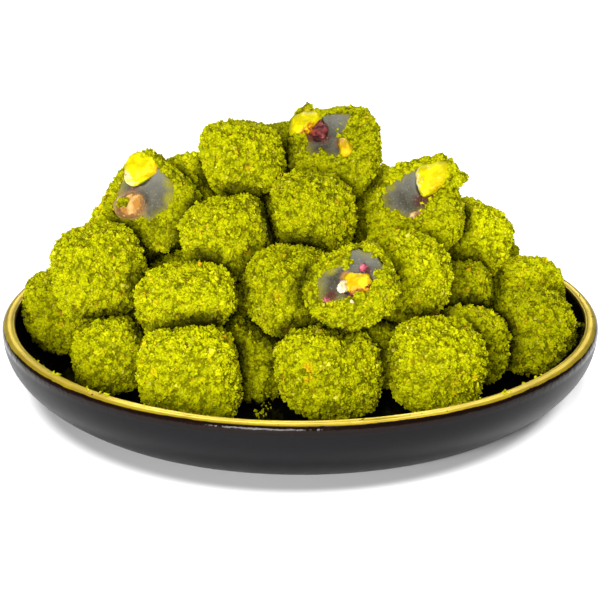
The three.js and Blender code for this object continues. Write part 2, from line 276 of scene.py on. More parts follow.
def glaze_material():
    material, tree, shader, place_on = new_material("black glaze and gilding", IOR=1.23)
    x, y, height = node(tree, "ShaderNodeSeparateXYZ", {0: place_on}).outputs
    outside = marked(tree, "outside")
    radius = math_node("SQRT", times_plus(x, x, times(y, y)))
    sideways, forward = (math_node("DIVIDE", part, radius) for part in (x, y))
    level = times(minus(radius, height), 90.0)
    around = node(tree, "ShaderNodeCombineXYZ", {0: sideways, 1: forward, 2: level}).outputs[0]
    stroke = noise_on(around, 14, 4)
    sweep = noise_on(place_on, 60, 2)
    brush = noise_on(place_on, 320, 3)
    fine = noise_on(place_on, 2500, 2)
    nick = noise_on(place_on, 520, 1)
    # The gold lies on the flat, with uneven edges, and nicks and thin strokes leave some of it bare.
    wander = times_plus(brush, 0.5 * MM, times(sweep, 0.7 * MM))
    painted = remap(plus(radius, wander), RIM_RADIUS - 0.1 * MM, RIM_RADIUS - 0.25 * MM)
    reached = times_plus(times(sideways, sideways), 0.5 * MM, height)
    on_top = remap(reached, DISH_HEIGHT - 0.6 * MM, DISH_HEIGHT - 0.25 * MM)
    nicked = remap(nick, 0.74, 0.76)
    streaked = remap(stroke, 0.66, 0.74, 0.0, 0.35)
    covered = minus(1.0, math_node("MAXIMUM", nicked, streaked))
    gilded = times(times(painted, on_top), covered)
    lip = remap(height, DISH_HEIGHT - 4.2 * MM, DISH_HEIGHT - 1.6 * MM)
    satin = times(outside, minus(1.0, lip))
    black = mix_colours(lip, BLACK_WALL, BLACK_LIP)
    black = mix_colours(remap(fine, 0.62, 0.75, 0.0, 0.4), black, GREY_SPECKS)
    # Painted reflection: along its inner edge the gold is darker, to almost black at the very edge.
    edge = remap(radius, RIM_RADIUS - 1.6 * MM, RIM_RADIUS - 0.6 * MM)
    gold = mix_colours(edge, GOLD_INSIDE, GOLD_OUTSIDE)
    gold = mix_colours(remap(sweep, 0.4, 0.6, 0.0, 0.6), gold, GOLD_DULL)
    gold = mix_colours(remap(brush, 0.55, 0.75, 0.0, 0.4), gold, GOLD_STREAKS)
    inward = minus(radius, wander)
    for start, end, reflected_gold in ((4.5, 3.4, GOLD_DARK_REFLECTION), (4.9, 4.5, GOLD_BLACK_REFLECTION)):
        full = remap(inward, RIM_RADIUS - start * MM, RIM_RADIUS - end * MM)
        gold = mix_colours(full, reflected_gold, gold)
    feed(shader, "Base Color", mix_colours(gilded, black, gold))
    feed(shader, "Metallic", times(gilded, GOLD_SHEEN))
    glaze_rough = times_plus(brush, 0.08, remap(satin, 0.0, 1.0, 0.1, 0.33))
    gold_rough = times_plus(brush, 0.2, 0.25)
    feed(shader, "Roughness", blend(gilded, glaze_rough, gold_rough))
    relief = times_plus(fine, 0.3, times(brush, 0.8))
    relief = times_plus(stroke, times(gilded, 0.5), relief)
    uneven = times(times(lip, outside), minus(1.0, gilded))
    relief = times_plus(brush, times(uneven, LIP_RIPPLE), relief)
    emboss(shader, relief, 0.2, 0.1 * MM)
    return material


dish = place("serving_dish", dish_mesh(), glaze_material())
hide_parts("dish")
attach(dish, "root")

# ---- The coat of ground pistachio ----
# Roasted pistachios, ground coarse, with a little skin left in. The sweets are rolled in it while they are
# sticky, so it clings in clumps with crumbs standing up from them. It is packed flat where sweets touch.
CLUMP_SIZE = 4.2 * MM
CLUMP_HEIGHT = 1.05 * MM
KNOB_SIZE = 2.0 * MM
KNOB_HEIGHT = 0.6 * MM
LUMP_SIZE = 9 * MM
LUMP_HEIGHT = 0.5 * MM
CRUMB_SIZE = 1.4 * MM
CRUMB_SPACING = 0.77 * MM
CRUMB_SHAPES = 8
GRAIN_SIZE = 0.8 * MM
GRAIN_DEPTH = 0.4 * MM
CRUMB_SHAPE_SHIFT = 0.2
CRUMB_DENSITY = 4.0e6
SMALL_CRUMB = 0.6
BIG_CRUMB = 1.55
BIG_CRUMB_RARITY = 3.0
CRUMB_LIFT = -0.04
FULL_TURN = 6.28
TINT_SEED = 77
EDGE_FULLNESS = -0.6
TOUCHING = 0.55 * MM
SHELTERED = 5 * MM
# Painted light and shade: some coats are made brighter or darker as a whole, to match how light falls on
# them.
# How bright they are, and which sweets they are on.
PAINTED_LIGHT_BY_SWEET = {
    1.26: ("right_big", "far_right_rim", "upper_left_back", "upper_right_back", "between_right",
           "left_shoulder"),
    0.92: ("top_left", "upper_left", "left_big", "front_middle"),
    0.83: ("upper_middle", "middle", "right_slot", "between_left", "left_rim", "right_rim", "cut_left",
           "cut_top", "cut_middle"),
}
PLAIN_PAINTED_LIGHT = 1.02
# The crumbs' own tints: mostly green to yellow-green, a few of them pale, brown or dark with skin.
CRUMB_TINTS = (
    (0.00, (0.37, 0.40, 0.001)), (0.35, (0.43, 0.44, 0.001)), (0.80, (0.475, 0.47, 0.001)),
    (0.955, (0.535, 0.515, 0.006)), (0.965, (0.63, 0.59, 0.06)), (0.975, (0.48, 0.455, 0.002)),
    (0.992, (0.62, 0.40, 0.006)), (1.0, (0.40, 0.19, 0.015)),
)
BROWNED_TINT = (0.72, 0.40, 0.006)
BROWNED_SHARE = 0.65
DEEPEST_LIGHT = 0.12
SHELTERED_LIGHT = 0.06


def chance(tree, seed):
    inputs = {2: 0.0, 3: 1.0, "Seed": seed}
    return node(tree, "FunctionNodeRandomValue", inputs, data_type="FLOAT").outputs[1]


def chance_vector(tree, low, high, seed):
    inputs = {0: (low, low, low), 1: (high, high, high), "Seed": seed}
    return node(tree, "FunctionNodeRandomValue", inputs, data_type="FLOAT_VECTOR").outputs[0]


def store(geometry, name, value, domain="POINT"):
    inputs = {"Geometry": geometry, "Name": name, "Value": value}
    kind = "GeometryNodeStoreNamedAttribute"
    return node(geometry.id_data, kind, inputs, data_type="FLOAT", domain=domain).outputs[0]


def stored(tree, name):
    return node(tree, "GeometryNodeInputNamedAttribute", {"Name": name}, data_type="FLOAT").outputs[0]


def moved(geometry, direction, distance):
    inputs = {0: direction, "Scale": distance}
    offset = node(geometry.id_data, "ShaderNodeVectorMath", inputs, operation="SCALE").outputs[0]
    inputs = {"Geometry": geometry, "Offset": offset}
    return node(geometry.id_data, "GeometryNodeSetPosition", inputs).outputs[0]


def crumb_shapes(tree):
    """Irregular crumbs, about one unit across."""
    shapes = node(tree, "GeometryNodeJoinGeometry")
    for i in range(CRUMB_SHAPES):
        start = node(tree, "GeometryNodeMeshUVSphere", {"Segments": 4, "Rings": 2, "Radius": 0.5})
        shift = chance_vector(tree, -CRUMB_SHAPE_SHIFT, CRUMB_SHAPE_SHIFT, i)
        bent = node(tree, "GeometryNodeSetPosition", {"Geometry": start.outputs[0], "Offset": shift})
        whole = node(tree, "GeometryNodeGeometryToInstance", {0: bent.outputs[0]})
        tree.links.new(whole.outputs[0], shapes.inputs[0])
    return shapes.outputs[0]


def scatter(tree, surface, spacing, size, share, seed, lift):
    """Crumbs on a surface, each with a tint of its own, as one mesh."""
    spots = node(
        tree, "GeometryNodeDistributePointsOnFaces",
        {"Mesh": surface, "Distance Min": spacing, "Density Max": CRUMB_DENSITY, "Density Factor": share,
         "Seed": seed},
        distribute_method="POISSON",
    )
    turn = chance_vector(tree, 0, FULL_TURN, seed)
    turned = node(tree, "FunctionNodeEulerToRotation", {0: turn}).outputs[0]
    big = math_node("POWER", chance(tree, seed), BIG_CRUMB_RARITY)
    big = times_plus(big, BIG_CRUMB - SMALL_CRUMB, SMALL_CRUMB)
    lifted = moved(spots.outputs[0], spots.outputs["Normal"], times(size, lift))
    crumbs = node(
        tree, "GeometryNodeInstanceOnPoints",
        {"Points": lifted, "Instance": crumb_shapes(tree), "Pick Instance": True, "Rotation": turned,
         "Scale": times(big, size)},
    )
    tinted = store(crumbs.outputs[0], "tint", chance(tree, TINT_SEED), "INSTANCE")
    real = node(tree, "GeometryNodeRealizeInstances", {0: tinted}).outputs[0]
    return node(tree, "GeometryNodeSetShadeSmooth", {"Geometry": real, "Shade Smooth": False}).outputs[0]


def new_tree(name, sizes, counts):
    """A tree of nodes that takes a mesh, some sizes, some whole numbers and the coat's finish."""
    tree = bpy.data.node_groups.new(name, "GeometryNodeTree")
    labels = {"Geometry": "Geometry"}
    labels.update((size, "Float") for size in sizes)
    labels.update((count, "Int") for count in counts)
    labels["Coat"] = "Material"
    for label, kind in labels.items():
        tree.interface.new_socket(label, in_out="INPUT", socket_type="NodeSocket" + kind)
    tree.interface.new_socket("Geometry", in_out="OUTPUT", socket_type="NodeSocketGeometry")
    return tree, node(tree, "NodeGroupInput").outputs


def end_tree(geometry, coat):
    tree = geometry.id_data
    inputs = {"Geometry": geometry, "Material": coat}
    painted = node(tree, "GeometryNodeSetMaterial", inputs).outputs[0]
    tree.links.new(painted, node(tree, "NodeGroupOutput").inputs[0])
    return tree


def noise_at(where, size):
    """Noise about nought, seldom past a half."""
    return times_plus(noise_on(where, math_node("DIVIDE", 1.0, size), 1.0), 2.0, -1.0)


def knobs_at(where, size):
    """Rounded knobs with sharp creases between them: 0 in a crease, up to 1 on a knob."""
    return remap(math_node("ABSOLUTE", noise_at(where, size)), 0.0, 0.3)


def coat_tree():
    tree, given = new_tree(
        "rolled in ground pistachio",
        ("Clump Size", "Clump Height", "Knob Size", "Knob Height", "Lump Size", "Lump Height", "Lift",
         "Crumb Size", "Crumb Spacing"),
        ("Levels", "Seed"),
    )
    fine = node(tree, "GeometryNodeSubdivisionSurface", {"Mesh": given["Geometry"], "Level": given["Levels"]})
    where = node(tree, "GeometryNodeInputPosition").outputs[0]
    normal = node(tree, "GeometryNodeInputNormal").outputs[0]
    clear = stored(tree, "clear")
    clumps = knobs_at(where, given["Clump Size"])
    knobs = knobs_at(where, given["Knob Size"])
    swell = times(noise_at(where, given["Lump Size"]), given["Lump Height"])
    swell = times_plus(minus(clumps, 1.0), given["Clump Height"], swell)
    swell = times_plus(minus(knobs, 1.0), given["Knob Height"], swell)
    swell = plus(swell, given["Lift"])
    swell = times(swell, remap(clear, 0.0, 1.0, 0.15, 1.0))
    proud = times_plus(clumps, 0.55, times(knobs, 0.45))
    surface = store(fine.outputs[0], "raised", proud)
    surface = store(surface, "tint", 0.5)
    surface = moved(surface, normal, swell)
    share = times(clear, remap(stored(tree, "raised"), 0.1, 0.7, 0.3, 1.0))
    crumbs = scatter(
        tree, surface, given["Crumb Spacing"], given["Crumb Size"], share, given["Seed"], CRUMB_LIFT,
    )
    smooth = node(tree, "GeometryNodeSetShadeSmooth", {"Geometry": surface, "Shade Smooth": True})
    both = node(tree, "GeometryNodeJoinGeometry")
    tree.links.new(store(smooth.outputs[0], "crumb", 0.0), both.inputs[0])
    tree.links.new(store(crumbs, "crumb", 1.0), both.inputs[0])
    return end_tree(both.outputs[0], given["Coat"])


def with_modifier(mesh, kind, sockets=None, **settings):
    """The plain mesh that a modifier makes of a mesh."""
    source = new_object("work", mesh)
    modifier = source.modifiers.new("work", kind)
    for name, value in settings.items():
        setattr(modifier, name, value)
    for identifier, value in (sockets or {}).items():
        modifier[identifier] = value
    made = bpy.data.meshes.new_from_object(source.evaluated_get(bpy.context.evaluated_depsgraph_get()))
    bpy.data.objects.remove(source)
    return made


def grow(name, mesh, tree, values):
    """Runs a mesh through a tree of nodes."""
    identifiers = {s.name: s.identifier for s in tree.interface.items_tree if s.in_out == "INPUT"}
    sockets = {identifiers[label]: value for label, value in values.items()}
    made = with_modifier(mesh, "NODES", sockets, node_group=tree)
    made.name = name
    return made


def merged_copy(node_name):
    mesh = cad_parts[node_name].data.copy()
    work = bmesh.new()
    work.from_mesh(mesh)
    bmesh.ops.remove_doubles(work, verts=work.verts, dist=0.01 * MM)
    work.to_mesh(mesh)
    work.free()
    return mesh


def quads_joined(mesh):
    work = bmesh.new()
    work.from_mesh(mesh)
    bmesh.ops.join_triangles(work, faces=work.faces, angle_face_threshold=0.9, angle_shape_threshold=0.9)
    work.to_mesh(mesh)
    work.free()
    return mesh


def surface_of(names):
    """The surfaces of some nodes as one tree, for measuring distances to them."""
    points, faces = [], []
    for name in names:
        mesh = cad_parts[name].data
        first = len(points)
        points.extend(v.co.copy() for v in mesh.vertices)
        faces.extend(tuple(first + i for i in p.vertices) for p in mesh.polygons)
    return BVHTree.FromPolygons(points, faces)


def surroundings(low, high, own):
    """The surfaces of all nodes near a box, except its own."""
    near = []
    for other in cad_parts:
        other_low, other_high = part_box(other)
        apart = max(max(other_low[i] - high[i], low[i] - other_high[i]) for i in range(3))
        if apart < SHELTERED and other not in own:
            near.append(other)
    return surface_of(near)


def painted_light_of(name):
    return next((painted_light for painted_light, names in PAINTED_LIGHT_BY_SWEET.items() if name in names), PLAIN_PAINTED_LIGHT)


def mark_clear(mesh, others, painted_light, hidden=lambda point: False):
    """Marks room for crumbs and openness for painted shade, from 0 against another piece to 1."""
    clear, light = [], []
    for vertex in mesh.vertices:
        distance = others.find_nearest(vertex.co, SHELTERED)[3]
        near = SHELTERED if distance is None else distance
        room = min(1.0, max(0.0, (near - TOUCHING) / TOUCHING))
        clear.append(0.0 if hidden(vertex.co) else room)
        light.append(near / SHELTERED)
    # The last mark is the sweet's painted light and shade, the same all over it.
    for name, values in (("clear", clear), ("open", light), ("painted_light", [painted_light] * len(clear))):
        mark(mesh, name, values)


def crumb_colour_group():
    """Colour of ground pistachio: crumb tints, with painted shade in creases and near other pieces."""
    group = bpy.data.node_groups.new("ground pistachio colour", "ShaderNodeTree")
    for label in ("Tint", "Depth", "Open", "Browned", "Painted Light"):
        group.interface.new_socket(label, in_out="INPUT", socket_type="NodeSocketFloat")
    group.interface.new_socket("Color", in_out="OUTPUT", socket_type="NodeSocketColor")
    given = node(group, "NodeGroupInput").outputs
    ramp = node(group, "ShaderNodeValToRGB", {"Fac": given["Tint"]})
    while len(ramp.color_ramp.elements) < len(CRUMB_TINTS):
        ramp.color_ramp.elements.new(0.5)
    for element, (at, colour) in zip(ramp.color_ramp.elements, CRUMB_TINTS):
        element.position = at
        element.color = (*colour, 1)
    browned = times(given["Browned"], BROWNED_SHARE)
    varied = mix_colours(browned, ramp.outputs[0], BROWNED_TINT)
    # Painted shade: darker in creases and pores, and near other pieces.
    deep = remap(given["Depth"], 0.0, 1.0, DEEPEST_LIGHT, 1.0)
    contact_shade = remap(given["Open"], 0.0, 1.0, SHELTERED_LIGHT, 1.0)
    # Painted light and shade: each sweet's whole coat is made brighter or darker.
    light = times(times(deep, contact_shade), given["Painted Light"])
    shaded = mix_colours(1.0, varied, light, "MULTIPLY")
    group.links.new(shaded, node(group, "NodeGroupOutput").inputs[0])
    return group


def crumb_material():
    material, tree, shader, place_on = new_material(
        "ground pistachio", Roughness=0.9, IOR=1.4, Specular_IOR_Level=0.05,
    )
    grains = node(tree, "ShaderNodeTexVoronoi", {"Vector": place_on, "Scale": 1 / GRAIN_SIZE})
    dome = remap(grains.outputs["Distance"], 0.15, 0.85, 1.0, 0.0)
    grain_tint = node(tree, "ShaderNodeSeparateColor", {0: grains.outputs["Color"]}).outputs[0]
    crumb = marked(tree, "crumb")
    tint = blend(crumb, grain_tint, marked(tree, "tint"))
    raised = remap(marked(tree, "raised"), 0.1, 0.75)
    # Painted shade: darker between grains and in creases, and the crumbs darker in creases.
    bed_shade = times(times_plus(dome, 0.4, 0.46), times_plus(raised, 0.5, 0.5))
    loose = times_plus(raised, 0.32, 0.66)
    depth = blend(crumb, bed_shade, loose)
    browned = remap(noise_on(place_on, 170, 3), 0.66, 0.76)
    given = {
        "Tint": tint, "Depth": depth, "Open": marked(tree, "open"), "Browned": browned,
        "Painted Light": marked(tree, "painted_light"),
    }
    colour = node(tree, "ShaderNodeGroup", given, node_tree=crumb_colour_group())
    feed(shader, "Base Color", colour.outputs[0])
    speck = noise_on(place_on, 1700, 2)
    height = times_plus(speck, 0.4, times(dome, times_plus(crumb, -0.7, 1.0)))
    emboss(shader, height, 0.6, GRAIN_DEPTH)
    return material


pistachio = crumb_material()
coat = coat_tree()
cut_names = sorted(n[: -len("_coat")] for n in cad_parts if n.endswith("_coat"))
whole_names = sorted(
    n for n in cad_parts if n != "dish" and not any(n.startswith(cut + "_") for cut in cut_names)
)
rolled_in = {
    "Clump Size": CLUMP_SIZE, "Clump Height": CLUMP_HEIGHT, "Knob Size": KNOB_SIZE,
    "Knob Height": KNOB_HEIGHT, "Lump Size": LUMP_SIZE, "Lump Height": LUMP_HEIGHT, "Lift": 0.0,
    "Crumb Size": CRUMB_SIZE, "Crumb Spacing": CRUMB_SPACING, "Coat": pistachio,
}
for number, name in enumerate(whole_names):
    block = with_modifier(quads_joined(merged_copy(name)), "SUBSURF", levels=1)
    block = with_modifier(block, "SMOOTH", factor=EDGE_FULLNESS, iterations=2)
    block = with_modifier(block, "SUBSURF", levels=1)
    low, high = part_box(name)
    mark_clear(block, surroundings(low, high, {name}), painted_light_of(name))
    rolled = grow("sweet_" + name, block, coat, {**rolled_in, "Levels": 1, "Seed": number})
    sweet = place("sweet_" + name, rolled, pistachio)
    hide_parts(name)
    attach(sweet, "root")

# ---- The coats of the cut sweets ----
# A cut or torn sweet keeps its coat all round, and loose ground pistachio sticks to the cut as well. It lies
# there in a ragged bank, from the coat's edge to where the jelly still shows, with heaps and single crumbs.
BANK_HEIGHT = 1.5 * MM
BANK_DEPTH = 1.6 * MM
BANK_SUNK = 0.3 * MM
BANK_LEAST = 0.9 * MM
BANK_INSET = 0.5 * MM
BANK_FARTHEST = 12 * MM
BANK_GRAIN = 2.2 * MM
BANK_ROUGHNESS = 0.5 * MM
BANK_TURNS = 96
BANK_STEPS = 9
TORN_VOXEL = 0.55 * MM
TORN_CLUMP_HEIGHT = 0.5 * MM
TORN_KNOB_HEIGHT = 0.3 * MM
TORN_LIFT = 0.45 * MM
OUTLINE_STEPS = 120
OUTLINE_ROUNDING = 2
BARE_RAGGEDNESS = 0.1
# Corners of the jelly that shows on each cut, in millimetres to the right and up from the middle of the cut.
BARE_JELLY = {
    "cut_left": (
        (-13.3, 4.8), (-11, 10), (-6, 13), (0, 13.4), (2.8, 12.2), (6.2, 8.3), (7.4, 3.9), (6.6, 0),
        (3.5, -2.6), (2.3, -5), (-7.2, -6), (-12.1, -6.1), (-14.6, -3), (-13.3, 1.1),
    ),
    "cut_right": (
        (-9.4, 2.3), (-9.4, 6), (-7.6, 8.7), (-3, 12.6), (-0.2, 14.3), (4, 14), (8, 11), (8, 6), (7, 3.6),
        (4.6, -1.2), (1.9, -3.2), (-0.1, -4.8), (-3.1, -2.9), (-6.2, -2.8), (-8.6, -0.1),
    ),
    "cut_top": (
        (-10.6, 13.6), (-4.5, 14.9), (1.8, 15), (2.2, 10), (1.8, 5.1), (5, 1.5), (6, -3), (2.8, -4.7),
        (-1.7, -2.4), (-3.9, -4.8), (-6.8, -4.3), (-10.2, 1.3), (-14, 4.5), (-15.5, 10),
    ),
    "cut_middle": (
        (-9.7, -2.2), (-9.5, 2.7), (-5.3, 4.7), (-1.8, 6.2), (-2.8, 9.3), (-4, 14.4), (1.5, 16.2),
        (6.8, 14.6), (10.6, 11), (11.8, 6.6), (8.4, 5), (9.3, 2.3), (7.5, -2.1), (4.8, -5), (0.9, -6.7),
        (-5.5, -7.7), (-8.1, -4.9),
    ),
}
# Heaps of crumbs, in millimetres: right, up and out from the middle of the cut, and the radius.
HEAPS = {
    "cut_left": (
        (-3.8, 16.8, 0, 1.9), (-0.6, 15, 0, 1.9), (1.6, 12.6, -0.4, 1.6), (-12.7, 9.5, 0, 1.4),
        (-13.4, 6.4, 0, 1.2), (8.6, 7.4, 0.2, 1.6), (10.6, 4.2, 0, 1.7), (-10.2, -0.4, 1.7, 1.1),
        (-9, -1.5, 1.5, 1), (-11, -1.7, 1.4, 0.9), (-8.9, 0.2, 1.3, 0.8),
    ),
    "cut_right": (
        (6.6, 18.6, -0.6, 2.3), (9.6, 17.2, -0.4, 2), (11.9, 14.9, 0.4, 2.1), (14.1, 11.8, -0.4, 2.5),
        (12.4, 9.4, 0.8, 1.8), (15, 13.1, -1.4, 2.3), (10.8, 6.4, 0.8, 1.7), (-3.6, -2.6, 0.3, 1),
        (4.6, 1.4, 0.3, 0.7),
    ),
    "cut_top": (
        (-15.2, 13.8, -0.2, 1.1), (-15.8, 14.6, -0.2, 0.95), (-16.3, 15.2, -0.2, 0.9),
        (-16.8, 15.8, -0.2, 0.85), (-0.9, 6.6, 0.2, 0.75), (0.9, 4.4, 0.4, 0.8), (-1.4, -3.4, 0.4, 1.3),
        (-2.8, -1.6, 0.3, 0.9), (4.4, 5, 0.6, 1.2), (-0.6, 9.6, 0.1, 0.6),
    ),
    "cut_middle": (
        (-1.7, 5.3, 0.2, 0.8), (-1.3, 7.5, 0.2, 0.9), (-2.8, 9.3, 0.2, 0.8), (-5.3, 5.9, 0.2, 0.9),
        (2.5, 12.7, 0.1, 0.8), (4.8, 10.6, 0.2, 0.8), (5.6, 9.8, 0.1, 0.6), (8.7, 5.1, 0.2, 1.1),
        (9.9, 3.6, 0.2, 1), (6.2, -4.4, 0.8, 1.5), (3.4, -6.2, 0.6, 1.2),
    ),
}


class Cut:
    """The plane of a cut, with directions to the right and up for someone who looks straight at it."""

    def __init__(self, jelly_name):
        flat = {}
        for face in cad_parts[jelly_name].data.polygons:
            key = tuple(round(n, 2) for n in face.normal)
            flat.setdefault(key, []).append(face)
        faces = max(flat.values(), key=lambda group: sum(face.area for face in group))
        area = sum(face.area for face in faces)
        self.middle = sum((face.center * face.area for face in faces), Vector()) / area
        self.out = faces[0].normal.copy()
        self.right = Vector((0, 0, 1)).cross(self.out).normalized()
        self.up = self.out.cross(self.right)

    def point(self, x, y, over=0.0):
        return self.middle + self.right * x + self.up * y + self.out * over

    def over(self, point):
        return (point - self.middle).dot(self.out)


class Outline:
    """A closed outline on a cut, kept as its distance from its middle in every direction."""

    def __init__(self, corners, raggedness, seed):
        corners = [Vector(corner) * MM for corner in corners]
        middle = sum(corners, Vector((0, 0))) / len(corners)
        self.x, self.y = middle
        sharp = []
        for angle in turns(OUTLINE_STEPS):
            far = middle + Vector((math.cos(angle), math.sin(angle))) * 100 * MM
            crossings = [
                geometry.intersect_line_line_2d(middle, far, start, end)
                for start, end in zip(corners, corners[1:] + corners[:1])
            ]
            sharp.append(max((crossing - middle).length for crossing in crossings if crossing is not None))
        self.reaches = []
        for i, angle in enumerate(turns(OUTLINE_STEPS)):
            near = [sharp[(i + j) % OUTLINE_STEPS] for j in range(-OUTLINE_ROUNDING, OUTLINE_ROUNDING + 1)]
            ring = Vector((math.cos(angle), math.sin(angle), 0))
            own = Vector((0, 0, seed))
            rough = noise.noise(ring * 4 + own) + 0.6 * noise.noise(ring * 11 + own)
            self.reaches.append(sum(near) / len(near) * (1 + raggedness * rough))

    def reach(self, angle):
        step = angle / (2 * math.pi) * OUTLINE_STEPS
        first = math.floor(step)
        share = step - first
        here, there = (self.reaches[(first + i) % OUTLINE_STEPS] for i in (0, 1))
        return here * (1 - share) + there * share


def bank(cut, bare, coat_surface):
    """A closed ring of crumbs on the cut, from the edge of the bare jelly to the outside of the coat."""
    middle = cut.point(bare.x, bare.y, -BANK_SUNK)
    work = bmesh.new()
    top, bottom = [], []
    for angle in turns(BANK_TURNS):
        away = cut.right * math.cos(angle) + cut.up * math.sin(angle)
        hit = coat_surface.ray_cast(middle + away * 40 * MM, -away)[0]
        outer = (hit - middle).length - BANK_INSET if hit else BANK_FARTHEST
        inner = min(bare.reach(angle), outer - BANK_LEAST)
        height = min(BANK_HEIGHT, 0.3 * (outer - inner) + BANK_SUNK)
        upper, lower = [], []
        for k in range(BANK_STEPS + 1):
            share = k / BANK_STEPS
            at = middle + away * (inner + (outer - inner) * share)
            rough = noise.noise(at / BANK_GRAIN) * BANK_ROUGHNESS
            lip = math.sin(math.pi * min(1, share * 0.9 + 0.1)) ** 0.6
            upper.append(work.verts.new(at + cut.out * (height * lip + rough * lip)))
            lower.append(work.verts.new(at - cut.out * BANK_DEPTH))
        top.append(upper)
        bottom.append(lower)
    for i in range(BANK_TURNS):
        j = (i + 1) % BANK_TURNS
        for k in range(BANK_STEPS):
            work.faces.new((top[i][k], top[i][k + 1], top[j][k + 1], top[j][k]))
            work.faces.new((bottom[i][k], bottom[j][k], bottom[j][k + 1], bottom[i][k + 1]))
        work.faces.new((top[i][0], top[j][0], bottom[j][0], bottom[i][0]))
        work.faces.new((top[i][-1], bottom[i][-1], bottom[j][-1], top[j][-1]))
    return work


cuts = {name: Cut(name + "_jelly") for name in cut_names}
bare_jelly = {name: Outline(BARE_JELLY[name], BARE_RAGGEDNESS, len(name)) for name in cut_names}
torn_coat = {
    **rolled_in, "Clump Height": TORN_CLUMP_HEIGHT, "Knob Height": TORN_KNOB_HEIGHT, "Lift": TORN_LIFT,
    "Levels": 0,
}
for number, name in enumerate(cut_names):
    cut = cuts[name]
    own = {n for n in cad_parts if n.startswith(name + "_")}
    crust = bank(cut, bare_jelly[name], surface_of([name + "_coat"]))
    for right, up, out, radius in HEAPS[name]:
        at = Matrix.Translation(cut.point(right * MM, up * MM, out * MM))
        bmesh.ops.create_icosphere(crust, subdivisions=2, radius=radius * MM, matrix=at)
    crust.from_mesh(merged_copy(name + "_coat"))
    bmesh.ops.recalc_face_normals(crust, faces=crust.faces)
    joined = bpy.data.meshes.new(name)
    crust.to_mesh(joined)
    crust.free()
    shell = with_modifier(joined, "REMESH", mode="VOXEL", voxel_size=TORN_VOXEL)
    shell = with_modifier(shell, "SMOOTH", factor=0.5, iterations=3)
    inner = surface_of([name + "_jelly"])
    low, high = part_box(name + "_coat")

    def against_jelly(point, cut=cut, inner=inner):
        return cut.over(point) < -0.6 * MM and inner.find_nearest(point, 0.75 * MM)[0] is not None

    mark_clear(shell, surroundings(low, high, own), painted_light_of(name), against_jelly)
    rolled = grow(name + "_torn_coat", shell, coat, {**torn_coat, "Seed": 100 + number})
    torn = place(name + "_torn_coat", rolled, pistachio)
    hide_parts(name + "_coat")
    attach(torn, "root")

# ---- The jelly ----
# Starch jelly, boiled clear and set firm, so it is grey and translucent in the cut, with a soft shine. The
# coat, the fruit and the nuts colour it a little green, red and brown. The cut is not quite flat.
JELLY_WAVE = 0.35 * MM
JELLY_WAVE_LENGTH = 5 * MM
JELLY_VOXEL = 0.7 * MM
JELLY_CUT_DEPTH = 1.2 * MM
JELLY_LIT_HEIGHT = 18 * MM
JELLY_GREY = (0.057, 0.051, 0.036)
JELLY_CLOUDY = (0.115, 0.108, 0.08)
JELLY_LIT = (0.21, 0.21, 0.18)
JELLY_GREEN = (0.235, 0.215, 0.018)
JELLY_BROWN = (0.42, 0.2, 0.05)
JELLY_RED = (0.085, 0.018, 0.014)
JELLY_DUST = (0.35, 0.36, 0.2)
# Where fruit, coat and browned nut have coloured the jelly, in millimetres: right and up on the cut, and
# how far the colour spreads.
STAINS = {
    "cut_left": {
        "fruity": ((-8, 6, 2.5),), "green": ((5.8, 8.4, 6), (6, 2.4, 4.6)), "nutty": ((-7.8, -1.4, 5.6),),
    },
    "cut_right": {"fruity": ((4.6, 2.6, 4.2),), "green": ((-7.4, 6.4, 2.6),), "nutty": ((6.6, 4.8, 1.8),)},
    "cut_top": {
        "fruity": ((-9, 4, 4.5), (-4.2, 3, 3), (2.4, 2.4, 1.8)),
        "green": ((-1.5, 14.5, 3), (-9.5, 13.4, 2.5)),
        "nutty": ((-9.6, 4.9, 1.8), (3, 2.6, 2.2)),
    },
    "cut_middle": {
        "fruity": ((6.8, -1.6, 3.2), (3, -4.8, 2.6), (-3.4, -5.2, 2.4), (4.6, 5.4, 2)),
        "green": ((3, 16, 9.5), (11.5, 10, 6.4), (-7, 3.5, 3.8)),
        "nutty": ((3.4, -3.6, 2), (-1.6, 2.2, 2)),
    },
}


def fading(away, spread):
    return math.exp(-(away / spread) ** 2)


def stain(cut, point, spots):
    """How strongly some spots on a cut colour a point: from 0 up to 1."""
    reached = 0.0
    for right, up, spread in spots:
        away = (point - cut.point(right * MM, up * MM)).length
        reached = max(reached, fading(away, spread * MM))
    return reached


def jelly_material():
    material, tree, shader, place_on = new_material(
        "clear starch jelly", IOR=1.4, Specular_IOR_Level=0.35,
        Subsurface_Weight=0.3, Subsurface_Scale=2.5 * MM, Subsurface_Radius=(1.0, 1.0, 0.7),
    )
    cloud = noise_on(place_on, 170, 3)
    speck = noise_on(place_on, 1500, 2)
    body = mix_colours(remap(cloud, 0.35, 0.65), JELLY_GREY, JELLY_CLOUDY)
    body = mix_colours(remap(marked(tree, "lit"), 0.3, 1.1, 0.0, 0.8), body, JELLY_LIT)
    body = mix_colours(remap(marked(tree, "edge"), 0.52, 1.0), body, JELLY_GREEN)
    for label, low, high, colour in (("nutty", 0.15, 0.9, JELLY_BROWN), ("fruity", 0.2, 0.95, JELLY_RED)):
        patchy = times_plus(minus(cloud, 0.5), 0.9, marked(tree, label))
        body = mix_colours(remap(patchy, low, high, 0.0, 0.85), body, colour)
    body = mix_colours(remap(speck, 0.66, 0.72, 0.0, 0.6), body, JELLY_DUST)
    feed(shader, "Base Color", body)
    feed(shader, "Roughness", remap(speck, 0.45, 0.7, 0.2, 0.5))
    relief = times_plus(cloud, 2.0, speck)
    emboss(shader, relief, 0.35, 0.2 * MM)
    return material


